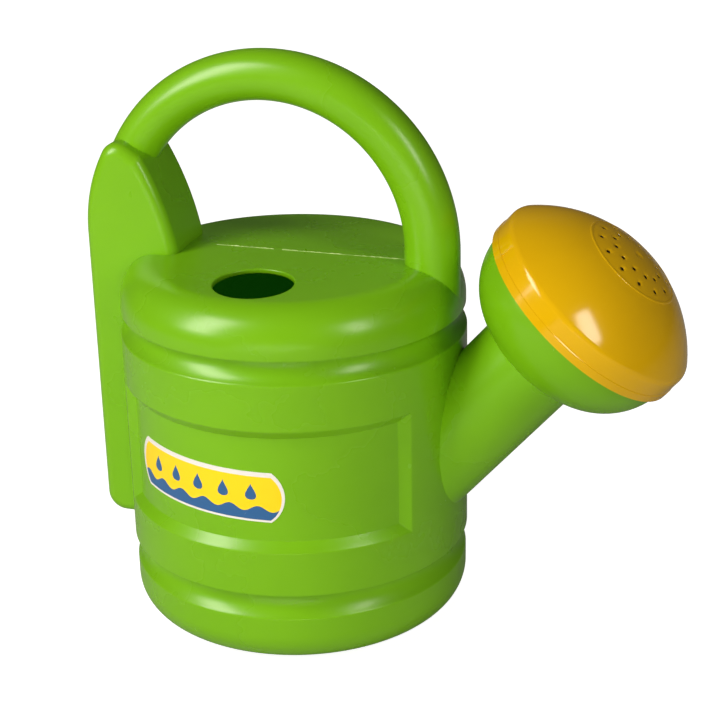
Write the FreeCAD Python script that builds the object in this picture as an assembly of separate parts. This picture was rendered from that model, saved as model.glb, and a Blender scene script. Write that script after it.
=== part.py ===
import FreeCAD, Part
import os
from math import asin, cos, degrees, radians, sin, sqrt, tan
from FreeCAD import Vector

# Toy watering can, millimetres. +Z is up, +X points along the spout, -Y faces the label.
# The origin is the centre of the standing ring, on the can's axis.
# The green moulding is one hollow blow-moulded skin; it is cut into nodes along its natural lines.

# --- Can ---
CAN_RADIUS = 67.0            # outer radius of the plain wall
BODY_HEIGHT = 144.0          # floor to the ridge of the lid
WALL = 2.0                   # skin thickness of the green moulding
FOOT_STEP = 0.5              # the foot band is this much smaller in radius than the wall
FOOT_EDGE = 13.0             # rounding of the bottom edge
FOOT_HEIGHT = 20.8           # floor to the lower groove
RING_WIDTH = 5.5             # flat annulus that the can stands on
BASE_RECESS = 3.0            # the middle of the base is pushed up by this
BASE_BEVEL = 4.0             # width of the slope between standing ring and recess

# --- Grooves round the can ---
LOWER_GROOVE_HEIGHT = 10.0
UPPER_GROOVE_HEIGHT = 9.1
GROOVE_DEPTH = 4.5
GROOVE_LIP = 0.8             # height of the square notch right under the upper edge

# --- Recessed label panels, one on each side ---
PANEL_MARGIN = 17.8          # panel edge to the nearest groove
PANEL_HALF_ANGLE = 58.3      # degrees each side of the Y axis
PANEL_DEPTH = 3.1
PANEL_BEVEL = 3.6            # width of the sloped border

# --- Shoulder and lid ---
SHOULDER_STEP = 0.4          # the shoulder is this much smaller in radius than the wall
SHOULDER_HEIGHT = 19.9       # shoulder lip to the ridge of the lid
SHOULDER_ROLL = 16.0         # radius of the rolled edge
LID_SLOPE = 2.0              # degrees down from the ridge to each side
FILL_HOLE_RADIUS = 15.0
FILL_HOLE_X = -2.0
FILL_HOLE_Y = -36.5
FILL_HOLE_EDGE = 0.6         # rounding of the cut rim

# --- Rear column ---
COLUMN_REACH = 12.3          # how far the column stands out behind the can wall
COLUMN_WIDTH = 32.0          # along Y
COLUMN_EDGE = 4.5            # rounding of its long edges
COLUMN_RAMP = 19.6           # degrees from upright of the front ramp, top face to lid ridge
COLUMN_STRAIGHT = 6.0        # the rear face starts to curve forward this far above the lid ridge
COLUMN_TOP_OUT = 8.0         # top face, measured outwards from the handle's axis
COLUMN_TOP_IN = 6.5          # top face, measured inwards from the handle's axis
COLUMN_ROUNDING = {"foot": 8.0, "top_out": 7.0, "top_in": 6.0, "ramp_foot": 20.0, "inside": 8.0}
COLUMN_BULGE = 1.6           # bow of the front ramp

# --- Handle ---
LEG_INSET = 11.2             # handle leg axis to the can wall, on the spout side
BACK_OUTSET = 4.0            # how far the full circle would pass behind the can wall
HANDLE_RISE = 4.4            # arc centre above the lid ridge
HANDLE_END_ANGLE = 146.0     # where the arc enters the column, degrees from the spout side
LEG_RADIUS = 10.5            # tube radius at the leg
GRIP_END_RADIUS = 9.0        # tube radius at the column

# --- Spout and its bell ---
SPOUT_ANGLE = 48.5           # degrees above level
SPOUT_ROOT_HEIGHT = 78.3     # where the spout's axis crosses the can wall
SPOUT_LENGTH = 69.0          # can wall to the bell's rim, along the axis
SPOUT_RADIUS = 20.6
BELL_RADIUS = 41.5           # outer radius at the rim
BELL_CURVE = 26.5            # radius of the bell's rounded side
COLLAR_HEIGHT = 6.5          # collar that the rose pushes over

# --- Rose ---
ROSE_WALL = 1.8
ROSE_FIT = 0.3               # gap between collar and rose
SEAT_GAP = 0.2               # gap between the rose's lip and the bell's shoulder
BEAD_HEIGHT = 0.15           # snap bead on the collar
BEAD_WIDTH = 1.4
LIP_STEP = 0.25              # the rose's lip stands proud of its skirt by this
LIP_HEIGHT = 3.0
SKIRT_HEIGHT = 9.7           # rim to where the skirt's line meets the dome
ROSE_HEIGHT = 30.3           # rim to the top of the dome
DOME_EDGE = 4.0              # rounding between skirt and dome
RING_LINE_RADIUS = 19.6      # raised line round the holes
RING_LINE_SIZE = 0.5
RING_LINE_PROUD = 0.2
OUTER_HOLES_RADIUS = 15.7
INNER_HOLES_RADIUS = 10.6
HOLES_PER_RING = 12
HOLE_RADIUS = 0.65
DIMPLE_RADIUS = 1.5          # shallow countersink round each hole
DIMPLE_DEPTH = 0.35
GATE_RADIUS = 2.1            # moulding gate mark in the middle
GATE_DEPTH = 0.5
ROSE_TURN = 6.7              # degrees that the hole pattern is turned about the spout

# --- Label ---
LABEL_WIDTH = 70.0           # measured round the curved panel
LABEL_HEIGHT = 20.0
LABEL_END_BOW = 5.0          # how far each end bulges
LABEL_THICKNESS = 0.15
LABEL_SHIFT = -16.3          # degrees round the can from the middle of the panel
LABEL_LIFT = -2.2            # from the panel's middle height
LABEL_TILT = 1.6             # degrees, as stuck on by hand

# --- Worked out from the sizes above ---
FOOT_RADIUS = CAN_RADIUS - FOOT_STEP
SHOULDER_RADIUS = CAN_RADIUS - SHOULDER_STEP
LOWER_GROOVE_TOP = FOOT_HEIGHT + LOWER_GROOVE_HEIGHT
SHOULDER_Z = BODY_HEIGHT - SHOULDER_HEIGHT
UPPER_GROOVE_Z = SHOULDER_Z - UPPER_GROOVE_HEIGHT
PANEL_BOTTOM = LOWER_GROOVE_TOP + PANEL_MARGIN
PANEL_TOP = UPPER_GROOVE_Z - PANEL_MARGIN
LEG_X = CAN_RADIUS - LEG_INSET
HANDLE_RADIUS = CAN_RADIUS + (BACK_OUTSET - LEG_INSET) / 2
HANDLE_CENTRE = Vector(LEG_X - HANDLE_RADIUS, 0, BODY_HEIGHT + HANDLE_RISE)
SPOUT_AXIS = Vector(cos(radians(SPOUT_ANGLE)), 0, sin(radians(SPOUT_ANGLE)))
SPOUT_ROOT = Vector(CAN_RADIUS, 0, SPOUT_ROOT_HEIGHT)
RIM_CENTRE = SPOUT_ROOT + SPOUT_AXIS * SPOUT_LENGTH
SKIRT_INNER = BELL_RADIUS - SEAT_GAP
COLLAR_RADIUS = SKIRT_INNER - ROSE_FIT
SKIRT_RADIUS = SKIRT_INNER + ROSE_WALL
DOME_RISE = ROSE_HEIGHT - SKIRT_HEIGHT
DOME_RADIUS = (SKIRT_RADIUS ** 2 + DOME_RISE ** 2) / (2 * DOME_RISE)
DOME_CENTRE = ROSE_HEIGHT - DOME_RADIUS
HANDLE_END = HANDLE_CENTRE + Vector(
    cos(radians(HANDLE_END_ANGLE)), 0, sin(radians(HANDLE_END_ANGLE))) * HANDLE_RADIUS
BIG = 4 * (CAN_RADIUS + BODY_HEIGHT)
X, Y, Z = Vector(1, 0, 0), Vector(0, 1, 0), Vector(0, 0, 1)


def at(r, z):
    return Vector(r, 0, z)


def line(a, b):
    return Part.LineSegment(a, b).toShape()


def arc(a, mid, b):
    return Part.Arc(a, mid, b).toShape()


def bowed(a, b, bow):
    # Arc from a to b in the XZ plane, bowed to the left of its run by the given height.
    run = b - a
    side = Vector(-run.z, 0, run.x).normalize()
    return arc(a, (a + b) * 0.5 + side * bow, b)


def tangent_arc(a, direction, b):
    # Arc in the XZ plane that leaves a along direction and ends at b.
    side = Vector(-direction.z, 0, direction.x).normalize()
    run = b - a
    radius = run.dot(run) / (2 * run.dot(side))
    centre = a + side * radius
    mid = (a + b) * 0.5 - centre
    return arc(a, centre + mid.normalize() * abs(radius), b)


def chain(points):
    return [line(a, b) for a, b in zip(points, points[1:])]


def face(edges):
    return Part.Face(Part.Wire(edges))


def block(x0, x1, y0, y1, z0, z1):
    return Part.makeBox(x1 - x0, y1 - y0, z1 - z0, Vector(x0, y0, z0))


def slab(z0, z1):
    return block(-BIG, BIG, -BIG, BIG, z0, z1)


def on_spout(shape):
    # From a frame whose Z is the spout's axis, with its origin in the bell's rim plane.
    placed = shape.copy()
    placed.rotate(Vector(0, 0, 0), Y, 90 - SPOUT_ANGLE)
    placed.translate(RIM_CENTRE)
    return placed


# --- Can: wall, base, shoulder ---

def groove(radius_below, radius_above, z, height):
    # From the lower rim of a groove to its upper rim: a cove, then a square notch under the lip.
    root = CAN_RADIUS - GROOVE_DEPTH
    rise = height - GROOVE_LIP
    out = radius_below - root
    cove = (out ** 2 + rise ** 2) / (2 * out)
    half = asin(rise / cove) / 2
    low = at(radius_below, z)
    top = at(root, z + rise)
    mid = at(root + cove * (1 - cos(half)), z + rise - cove * sin(half))
    under = at(root, z + height)
    return [arc(low, mid, top)] + chain([top, under, at(radius_above, z + height)])


def can_outline():
    # Edges of the outer outline in the XZ plane, from the axis at the base to the axis at the top.
    # The shoulder runs past the real one, and lid_block trims it.
    flat = FOOT_RADIUS - FOOT_EDGE
    bend = at(flat + FOOT_EDGE * sin(radians(45)), FOOT_EDGE * (1 - cos(radians(45))))
    beyond = SHOULDER_RADIUS + GROOVE_DEPTH
    top = BODY_HEIGHT + SHOULDER_ROLL
    edges = chain([
        at(0, BASE_RECESS),
        at(flat - RING_WIDTH - BASE_BEVEL, BASE_RECESS),
        at(flat - RING_WIDTH, 0),
        at(flat, 0)])
    edges.append(arc(at(flat, 0), bend, at(FOOT_RADIUS, FOOT_EDGE)))
    edges.append(line(at(FOOT_RADIUS, FOOT_EDGE), at(FOOT_RADIUS, FOOT_HEIGHT)))
    edges += groove(FOOT_RADIUS, CAN_RADIUS, FOOT_HEIGHT, LOWER_GROOVE_HEIGHT)
    edges.append(line(at(CAN_RADIUS, LOWER_GROOVE_TOP), at(CAN_RADIUS, UPPER_GROOVE_Z)))
    edges += groove(CAN_RADIUS, beyond, UPPER_GROOVE_Z, UPPER_GROOVE_HEIGHT)
    return edges + chain([at(beyond, SHOULDER_Z), at(beyond, top), at(0, top)])


def can_section(inset):
    # The outline and its mirror image are offset as one, so that nothing is taken off at the axis.
    edges = can_outline()
    both = edges + [edge.mirror(Vector(0, 0, 0), X) for edge in edges]
    whole = Part.Face(Part.Wire(Part.sortEdges(both)[0]))
    if inset:
        whole = whole.makeOffset2D(-inset)
    return whole.common(block(0, BIG, -1, 1, -BIG, BIG)).Faces[0]


def lid_half(inset):
    # The -Y half of a tall cylinder under a lid that slopes down from the ridge, its rim rolled over.
    radius = SHOULDER_RADIUS - inset
    slope = radians(LID_SLOPE)
    ridge = BODY_HEIGHT - inset / cos(slope)
    far = 2 * radius
    roof = face(chain([
        Vector(-BIG, 0, 0),
        Vector(-BIG, 0, ridge),
        Vector(-BIG, -far, ridge - far * tan(slope)),
        Vector(-BIG, -far, 0),
        Vector(-BIG, 0, 0)]))
    cylinder = Part.makeCylinder(radius, BIG)
    half = cylinder.common(roof.extrude(X * (2 * BIG)))
    rim = []
    for edge in half.Edges:
        box = edge.BoundBox
        if box.YMin < -radius / 2 and box.ZMin > ridge / 2 and box.XLength > radius:
            rim.append(edge)
    return half.makeFillet(SHOULDER_ROLL - inset, rim)


def lid_block(inset):
    half = lid_half(inset)
    return half.fuse(half.mirror(Vector(0, 0, 0), Y)).removeSplitter()


def panel_cut(inset):
    # What the recessed label panel takes out of the -Y side, grown by inset for the inner skin.
    floor = CAN_RADIUS - PANEL_DEPTH
    slant = sqrt(PANEL_BEVEL ** 2 + PANEL_DEPTH ** 2)
    grow = inset * (slant - PANEL_BEVEL) / PANEL_DEPTH
    outside = CAN_RADIUS + PANEL_DEPTH
    run = (outside - floor + inset) * PANEL_BEVEL / PANEL_DEPTH
    low = PANEL_BOTTOM + PANEL_BEVEL - grow
    high = PANEL_TOP - PANEL_BEVEL + grow
    band = face(chain([
        at(floor - inset, low),
        at(outside, low - run),
        at(outside, high + run),
        at(floor - inset, high),
        at(floor - inset, low)])).revolve(Vector(0, 0, 0), Z, 360)
    turn = radians(PANEL_HALF_ANGLE)
    inner_turn = turn - PANEL_BEVEL / CAN_RADIUS
    edge_out = Vector(CAN_RADIUS * sin(turn), -CAN_RADIUS * cos(turn), 0)
    edge_in = Vector(floor * sin(inner_turn), -floor * cos(inner_turn), 0)
    along = (edge_out - edge_in).normalize()
    away = Vector(-along.y, along.x, 0)
    near = edge_in + away * inset
    near -= along * (near.x / along.x * 0.9)
    far = edge_out + away * inset + along * CAN_RADIUS
    right = [near, far, Vector(far.x, -BIG, 0)]
    left = [Vector(-p.x, p.y, 0) for p in reversed(right)]
    return band.common(face(chain(right + left + [near])).extrude(Z * BODY_HEIGHT))


def can_solid(inset):
    # The lid block limits only what is above the upper groove's notch.
    limit = lid_block(inset).fuse(slab(-BIG, SHOULDER_Z - GROOVE_LIP / 2))
    solid = can_section(inset).revolve(Vector(0, 0, 0), Z, 360).common(limit)
    front = panel_cut(inset)
    return solid.cut(front).cut(front.mirror(Vector(0, 0, 0), Y))


def fill_hole():
    # Cut square to the sloping lid.
    slope = radians(LID_SLOPE)
    square = Vector(0, -sin(slope), cos(slope))
    mouth = Vector(FILL_HOLE_X, FILL_HOLE_Y, BODY_HEIGHT + FILL_HOLE_Y * tan(slope))
    return Part.makeCylinder(FILL_HOLE_RADIUS, 4 * WALL, mouth - square * (2 * WALL), square)


def round_fill_hole(shoulder):
    middle = Vector(FILL_HOLE_X, FILL_HOLE_Y, BODY_HEIGHT)
    round_edges = []
    for edge in shoulder.Edges:
        if isinstance(edge.Curve, Part.Circle) and abs(edge.Curve.Radius - FILL_HOLE_RADIUS) < 0.01:
            round_edges.append(edge)
    mouth = min(round_edges, key=lambda edge: (edge.Curve.Center - middle).Length)
    return shoulder.makeFillet(FILL_HOLE_EDGE, [mouth])


# --- Rear column ---

def column_corners():
    rear = -CAN_RADIUS - COLUMN_REACH
    radial = (HANDLE_END - HANDLE_CENTRE).normalize()
    top_in = HANDLE_END - radial * COLUMN_TOP_IN
    front = top_in.x + (top_in.z - BODY_HEIGHT) * tan(radians(COLUMN_RAMP))
    return {
        "foot": at(rear, LOWER_GROOVE_TOP),
        "top_out": HANDLE_END + radial * COLUMN_TOP_OUT,
        "top_in": top_in,
        "ramp_foot": at(front, BODY_HEIGHT),
        "inside": at(front, LOWER_GROOVE_TOP)}


def column_solid(inset):
    corners = column_corners()
    bend_start = at(corners["foot"].x, BODY_HEIGHT + COLUMN_STRAIGHT)
    outline = face([
        line(corners["foot"], bend_start),
        tangent_arc(bend_start, Z, corners["top_out"]),
        line(corners["top_out"], corners["top_in"]),
        bowed(corners["top_in"], corners["ramp_foot"], COLUMN_BULGE),
        line(corners["ramp_foot"], corners["inside"]),
        line(corners["inside"], corners["foot"])])
    if inset:
        outline = outline.makeOffset2D(-inset)
    width = COLUMN_WIDTH - 2 * inset
    outline.translate(Vector(0, -width / 2, 0))
    solid = outline.extrude(Y * width)
    for name, radius in COLUMN_ROUNDING.items():
        across = [edge for edge in solid.Edges if edge.BoundBox.YLength > width / 2]
        nearest = min(across, key=lambda edge: (edge.BoundBox.Center - corners[name]).Length)
        solid = solid.makeFillet(radius - inset, [nearest])
    sides = [edge for edge in solid.Edges if edge.BoundBox.YLength < 0.01]
    return solid.makeFillet(COLUMN_EDGE - inset, sides)


# --- Handle ---

def handle_point(angle):
    return HANDLE_CENTRE + Vector(cos(radians(angle)), 0, sin(radians(angle))) * HANDLE_RADIUS


def handle_solid(inset):
    # A straight leg on the shoulder, then an arc that thins towards the column and runs into it.
    end_angle = HANDLE_END_ANGLE + degrees_in(2 * WALL + COLUMN_EDGE)
    spine = Part.Wire([arc(handle_point(0), handle_point(end_angle / 2), handle_point(end_angle))])
    start = Part.Wire([Part.makeCircle(LEG_RADIUS - inset, handle_point(0), Z)])
    heading = Vector(-sin(radians(end_angle)), 0, cos(radians(end_angle)))
    end = Part.Wire([Part.makeCircle(GRIP_END_RADIUS - inset, handle_point(end_angle), heading)])
    bow = spine.makePipeShell([start, end], True, True)
    foot = SHOULDER_Z + WALL
    leg = Part.makeCylinder(LEG_RADIUS - inset, HANDLE_CENTRE.z - foot, at(LEG_X, foot), Z)
    return bow.fuse(leg).removeSplitter()


def degrees_in(length):
    return degrees(length / HANDLE_RADIUS)


# --- Spout and bell, about their own axis with the rim plane at zero ---

def bell_solid(inset):
    centre = at(BELL_RADIUS - BELL_CURVE, 0)
    radius = BELL_CURVE - inset
    low, rim = centre - Z * radius, centre + X * radius
    mid = centre + (X - Z).normalize() * radius
    edges = [arc(low, mid, rim)] + chain([rim, at(0, 0), at(0, -radius), low])
    bell = face(edges).revolve(Vector(0, 0, 0), Z, 360)
    if inset:
        bore = Part.makeCylinder(COLLAR_RADIUS - inset, 2 * COLLAR_HEIGHT, at(0, -COLLAR_HEIGHT / 2), Z)
        return on_spout(bell.fuse(bore))
    bell = bell.cut(Part.makeCylinder(BIG, BIG, at(0, -SEAT_GAP), Z))
    neck = Part.makeCylinder(COLLAR_RADIUS, COLLAR_HEIGHT + SEAT_GAP, at(0, -SEAT_GAP), Z)
    return on_spout(bell.fuse(neck).fuse(snap_bead()))


def snap_bead():
    height = COLLAR_HEIGHT / 2
    low = at(COLLAR_RADIUS, height - BEAD_WIDTH / 2)
    peak = at(COLLAR_RADIUS + BEAD_HEIGHT, height)
    high = at(COLLAR_RADIUS, height + BEAD_WIDTH / 2)
    inside = COLLAR_RADIUS - WALL / 2
    edges = [arc(low, peak, high)] + chain([high, at(inside, high.z), at(inside, low.z), low])
    return face(edges).revolve(Vector(0, 0, 0), Z, 360)


def spout_solid(inset):
    slope = radians(SPOUT_ANGLE)
    behind = (SPOUT_RADIUS * sin(slope) + 2 * WALL) / cos(slope)
    start = -SPOUT_LENGTH - behind
    end = -BELL_CURVE + (BELL_CURVE / 4)
    return on_spout(Part.makeCylinder(SPOUT_RADIUS - inset, end - start, at(0, start), Z))


# --- Rose ---

def dome_height(r, radius):
    return DOME_CENTRE + sqrt(radius ** 2 - r ** 2)


def rose_shell():
    lip = SKIRT_RADIUS + LIP_STEP
    inner_dome = DOME_RADIUS - ROSE_WALL
    outer = chain([
        at(SKIRT_INNER, 0),
        at(lip, 0),
        at(lip, LIP_HEIGHT),
        at(SKIRT_RADIUS, LIP_HEIGHT + LIP_STEP),
        at(SKIRT_RADIUS, dome_height(SKIRT_RADIUS, DOME_RADIUS))])
    over = arc(
        at(SKIRT_RADIUS, dome_height(SKIRT_RADIUS, DOME_RADIUS)),
        at(SKIRT_RADIUS / 2, dome_height(SKIRT_RADIUS / 2, DOME_RADIUS)),
        at(0, ROSE_HEIGHT))
    under = arc(
        at(0, ROSE_HEIGHT - ROSE_WALL),
        at(SKIRT_INNER / 2, dome_height(SKIRT_INNER / 2, inner_dome)),
        at(SKIRT_INNER, dome_height(SKIRT_INNER, inner_dome)))
    axis = line(at(0, ROSE_HEIGHT), at(0, ROSE_HEIGHT - ROSE_WALL))
    wall = line(at(SKIRT_INNER, dome_height(SKIRT_INNER, inner_dome)), at(SKIRT_INNER, 0))
    shell = face(outer + [over, axis, under, wall]).revolve(Vector(0, 0, 0), Z, 360)
    corner = []
    for edge in shell.Edges:
        box = edge.BoundBox
        level = abs(box.ZMin - dome_height(SKIRT_RADIUS, DOME_RADIUS)) < 0.01
        if level and box.ZLength < 0.01 and abs(box.XLength - 2 * SKIRT_RADIUS) < 0.01:
            corner.append(edge)
    return shell.makeFillet(DOME_EDGE, corner)


def ring_line():
    sink = RING_LINE_SIZE - RING_LINE_PROUD
    height = dome_height(RING_LINE_RADIUS, DOME_RADIUS) - sink
    return Part.makeTorus(RING_LINE_RADIUS, RING_LINE_SIZE, at(0, height), Z)


def rose_hole(radius, angle):
    x, y = radius * cos(radians(angle)), radius * sin(radians(angle))
    top = dome_height(radius, DOME_RADIUS)
    bore = Part.makeCylinder(HOLE_RADIUS, 4 * ROSE_WALL, Vector(x, y, top - 3 * ROSE_WALL), Z)
    ball = (DIMPLE_RADIUS ** 2 + DIMPLE_DEPTH ** 2) / (2 * DIMPLE_DEPTH)
    out = Vector(x, y, top - DOME_CENTRE).normalize()
    dimple = Part.makeSphere(ball, Vector(x, y, top) + out * (ball - DIMPLE_DEPTH))
    return bore.fuse(dimple)


def rose_solid():
    rose = rose_shell().fuse(ring_line())
    pitch = 360 / HOLES_PER_RING
    for index in range(HOLES_PER_RING):
        angle = ROSE_TURN + index * pitch
        rose = rose.cut(rose_hole(INNER_HOLES_RADIUS, angle))
        rose = rose.cut(rose_hole(OUTER_HOLES_RADIUS, angle + pitch / 2))
    gate = (GATE_RADIUS ** 2 + GATE_DEPTH ** 2) / (2 * GATE_DEPTH)
    rose = rose.cut(Part.makeSphere(gate, at(0, ROSE_HEIGHT + gate - GATE_DEPTH)))
    return on_spout(rose)


# --- Label ---

def label_solid():
    # A strip with bowed ends, wrapped round the floor of the recessed panel.
    floor = CAN_RADIUS - PANEL_DEPTH
    tip = floor * sin(LABEL_WIDTH / 2 / floor)
    side = tip - LABEL_END_BOW
    top = LABEL_HEIGHT / 2
    middle = (PANEL_BOTTOM + PANEL_TOP) / 2 + LABEL_LIFT
    plate = face([
        line(at(-side, -top), at(side, -top)),
        arc(at(side, -top), at(tip, 0), at(side, top)),
        line(at(side, top), at(-side, top)),
        arc(at(-side, top), at(-tip, 0), at(-side, -top))]).extrude(Y * floor)
    plate.translate(Y * (-1.5 * floor))
    plate.rotate(Vector(0, 0, 0), Y, LABEL_TILT)
    plate.translate(Z * middle)
    plate.rotate(Vector(0, 0, 0), Z, LABEL_SHIFT)
    tube = Part.makeCylinder(floor + LABEL_THICKNESS, BODY_HEIGHT)
    tube = tube.cut(Part.makeCylinder(floor, BODY_HEIGHT))
    return tube.common(plate)


def save(name, shape):
    solids = shape.removeSplitter().Solids
    solid = solids[0] if len(solids) == 1 else Part.Compound(solids)
    box = solid.BoundBox
    solid.exportStep("parts/" + name + ".step")
    print(f"{name:14s} solids {len(solids)} valid {solid.isValid()} volume {solid.Volume / 1000:8.2f} cm3"
          f"  {box.XMin:7.1f} {box.XMax:7.1f} {box.YMin:6.1f} {box.YMax:6.1f} {box.ZMin:6.1f} {box.ZMax:6.1f}")


def main():
    os.makedirs("parts", exist_ok=True)
    can, column, handle = can_solid(0), column_solid(0), handle_solid(0)
    spout, bell = spout_solid(0), bell_solid(0)
    cavity = can_solid(WALL).fuse([column_solid(WALL), handle_solid(WALL), spout_solid(WALL), bell_solid(WALL)])
    skin = can.cut(cavity).cut(fill_hole())
    save("can_base", skin.common(slab(-BIG, FOOT_HEIGHT)))
    save("can_wall", skin.common(slab(FOOT_HEIGHT, SHOULDER_Z)))
    save("can_shoulder", round_fill_hole(skin.common(slab(SHOULDER_Z, BIG))))
    save("rear_column", column.cut(can).cut(cavity))
    save("handle", handle.cut([can, column]).cut(cavity))
    save("spout_tube", spout.cut([can, bell]).cut(cavity))
    save("spout_bell", bell.cut(cavity))
    save("rose", rose_solid())
    save("label", label_solid())


main()
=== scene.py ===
from math import asin, atan2, cos, pi, radians, sin, sqrt, tan
from random import Random

import bmesh
import bpy
from mathutils import Matrix, Vector


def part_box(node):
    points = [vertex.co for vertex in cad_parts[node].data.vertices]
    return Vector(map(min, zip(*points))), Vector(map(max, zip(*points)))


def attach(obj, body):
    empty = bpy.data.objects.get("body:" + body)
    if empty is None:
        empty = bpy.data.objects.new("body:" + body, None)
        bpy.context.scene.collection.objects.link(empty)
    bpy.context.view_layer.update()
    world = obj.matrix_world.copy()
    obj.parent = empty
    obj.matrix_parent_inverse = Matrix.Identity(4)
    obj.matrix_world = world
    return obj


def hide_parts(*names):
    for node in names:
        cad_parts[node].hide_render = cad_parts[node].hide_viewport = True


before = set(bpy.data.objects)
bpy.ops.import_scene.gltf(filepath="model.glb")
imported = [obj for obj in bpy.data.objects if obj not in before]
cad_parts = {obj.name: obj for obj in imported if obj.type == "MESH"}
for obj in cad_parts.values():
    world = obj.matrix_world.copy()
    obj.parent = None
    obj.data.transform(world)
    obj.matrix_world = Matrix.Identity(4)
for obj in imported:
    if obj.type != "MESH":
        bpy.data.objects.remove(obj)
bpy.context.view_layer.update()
print("frame loaded:", len(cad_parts), "CAD nodes")

# The pieces are modelled in millimetres about the can's own axis and shrunk to metres at the end.
mm = 0.001


def boxOf(node):
    low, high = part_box(node)
    return low / mm, high / mm


wallLow, wallHigh = boxOf("can_wall")
shoulderLow, shoulderHigh = boxOf("can_shoulder")
columnLow, columnHigh = boxOf("rear_column")
labelLow, labelHigh = boxOf("label")

canRadius = wallHigh.y
footRadius = boxOf("can_base")[1].y
shoulderRadius = shoulderHigh.y
lidRidge = shoulderHigh.z
wall = 2.0          # skin of the green moulding

# Bmesh helpers.

def arcPoints(centre, radius, start, end, steps):
    angles = [radians(start + (end - start) * i / steps) for i in range(steps + 1)]
    return [(centre[0] + radius * cos(a), centre[1] + radius * sin(a)) for a in angles]


def drawOutline(bm, points, closed=False):
    verts = [bm.verts.new((x, 0, z)) for x, z in points]
    ends = verts[1:] + verts[:1] if closed else verts[1:]
    edges = [bm.edges.new(pair) for pair in zip(verts, ends)]
    return verts, edges


def turnOutline(bm, points, steps, closed=False):
    verts, edges = drawOutline(bm, points, closed)
    bmesh.ops.spin(bm, geom=verts + edges, cent=(0, 0, 0), axis=(0, 0, 1),
                   angle=2 * pi, steps=steps, use_merge=True)
    bmesh.ops.remove_doubles(bm, verts=bm.verts[:], dist=0.001)


def vertsOf(grown):
    return [part for part in grown if isinstance(part, bmesh.types.BMVert)]


def growEdges(bm, edges):
    grown = bmesh.ops.extrude_edge_only(bm, edges=edges)["geom"]
    return vertsOf(grown), [part for part in grown if isinstance(part, bmesh.types.BMEdge)]


def growFaces(bm, faces):
    return vertsOf(bmesh.ops.extrude_face_region(bm, geom=faces)["geom"])


def turnVerts(bm, verts, degrees, axis="Z"):
    bmesh.ops.rotate(bm, verts=verts, cent=(0, 0, 0), matrix=Matrix.Rotation(radians(degrees), 3, axis))


def closeEnds(bm):
    bmesh.ops.holes_fill(bm, edges=[edge for edge in bm.edges if edge.is_boundary])


def cleanNormals(bm):
    bmesh.ops.remove_doubles(bm, verts=bm.verts[:], dist=0.0005)
    bmesh.ops.recalc_face_normals(bm, faces=bm.faces[:])


def softenCreases(bm, width, segments=2, least=20, chosen=None):
    found = []
    for edge in bm.edges:
        if len(edge.link_faces) == 2 and edge.calc_face_angle() > radians(least):
            if chosen is None or chosen(edge):
                found.append(edge)
    bmesh.ops.bevel(bm, geom=found, offset=width, offset_type="OFFSET", segments=segments,
                    affect="EDGES", profile=0.5, material=-1, clamp_overlap=True)


def finishPiece(name, bm, body, nodes, materials, sharpAngle=38, weighted=True):
    bmesh.ops.scale(bm, vec=(mm, mm, mm), verts=bm.verts[:])
    for face in bm.faces:
        face.smooth = True
    mesh = bpy.data.meshes.new(name)
    bm.to_mesh(mesh)
    bm.free()
    mesh.set_sharp_from_angle(angle=radians(sharpAngle))
    piece = bpy.data.objects.new(name, mesh)
    bpy.context.scene.collection.objects.link(piece)
    for material in materials:
        mesh.materials.append(material)
    if weighted:
        modifier = piece.modifiers.new("flat faces stay flat", "WEIGHTED_NORMAL")
        modifier.keep_sharp = True
    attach(piece, body)
    if nodes:
        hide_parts(*nodes)
    print("made", name, len(mesh.polygons), "faces")


# Materials.

def addNode(tree, kind, **values):
    node = tree.nodes.new(kind)
    for key, value in values.items():
        if key in node.inputs:
            node.inputs[key].default_value = value
        else:
            setattr(node, key, value)
    return node


def link(tree, source, target):
    tree.links.new(source, target)


def calc(tree, operation, *values, clamp=False):
    node = addNode(tree, "ShaderNodeMath", operation=operation, use_clamp=clamp)
    for socket, value in zip(node.inputs, values):
        if isinstance(value, (int, float)):
            socket.default_value = value
        else:
            link(tree, value, socket)
    return node.outputs[0]


def mixColour(tree, share, under, over):
    layer = addNode(tree, "ShaderNodeMix", data_type="RGBA")
    for key, colour in (("A", under), ("B", over)):
        if isinstance(colour, tuple):
            layer.inputs[key].default_value = (*colour, 1)
        else:
            link(tree, colour, layer.inputs[key])
    link(tree, share, layer.inputs["Factor"])
    return layer.outputs["Result"]


def newMaterial(name):
    material = bpy.data.materials.new(name)
    material.use_nodes = True
    return material, material.node_tree, material.node_tree.nodes["Principled BSDF"]


def addBump(tree, shader, height, strength):
    bump = addNode(tree, "ShaderNodeBump", Strength=strength, Distance=0.0002)
    link(tree, height, bump.inputs["Height"])
    link(tree, bump.outputs["Normal"], shader.inputs["Normal"])


def newGroup(name, inputs, outputs):
    tree = bpy.data.node_groups.new(name, "ShaderNodeTree")
    for label, kind, value in inputs:
        socket = tree.interface.new_socket(name=label, in_out="INPUT", socket_type=kind)
        if value is not None:
            socket.default_value = value
    for label, kind in outputs:
        tree.interface.new_socket(name=label, in_out="OUTPUT", socket_type=kind)
    return tree, tree.nodes.new("NodeGroupInput"), tree.nodes.new("NodeGroupOutput")


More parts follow.
